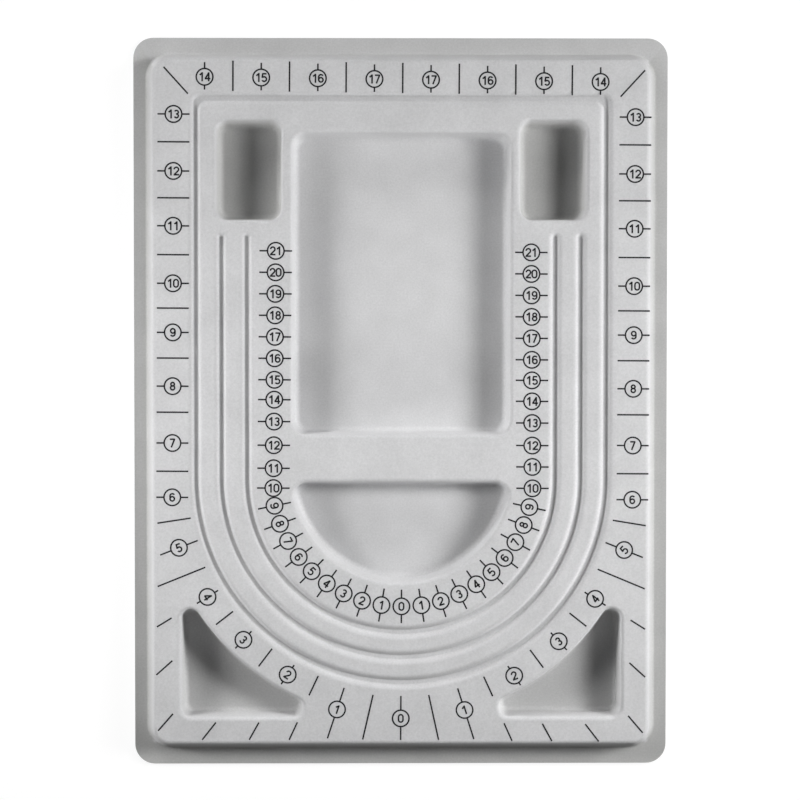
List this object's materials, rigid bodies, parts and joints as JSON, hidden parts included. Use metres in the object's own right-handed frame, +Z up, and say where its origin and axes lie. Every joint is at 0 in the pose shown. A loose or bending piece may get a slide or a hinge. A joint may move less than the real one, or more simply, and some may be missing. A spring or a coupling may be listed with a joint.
{
  "type": "bead board",
  "caption": "Flat rectangular bead board: a thermoformed tray with a raised deck, U-shaped measuring grooves and shallow wells for beads, coated in soft grey flock.",
  "frame": {"origin": "middle of the face that rests on the table", "axes": "+Z up out of the wells, +Y towards the end with the two small wells, +X to the right"},
  "size_m": [0.24, 0.327, 0.013],
  "materials": {
    "tray_plastic": "light grey thermoformed sheet, slightly glossy, bare on the underside",
    "flock": "light grey flock, short upright fibres, soft and dull",
    "print_ink": "black ink printed on the flock"
  },
  "bodies": {
    "root": {"formed_tray": "tray_plastic", "flock_coat": "flock"}
  },
  "joints": []
}
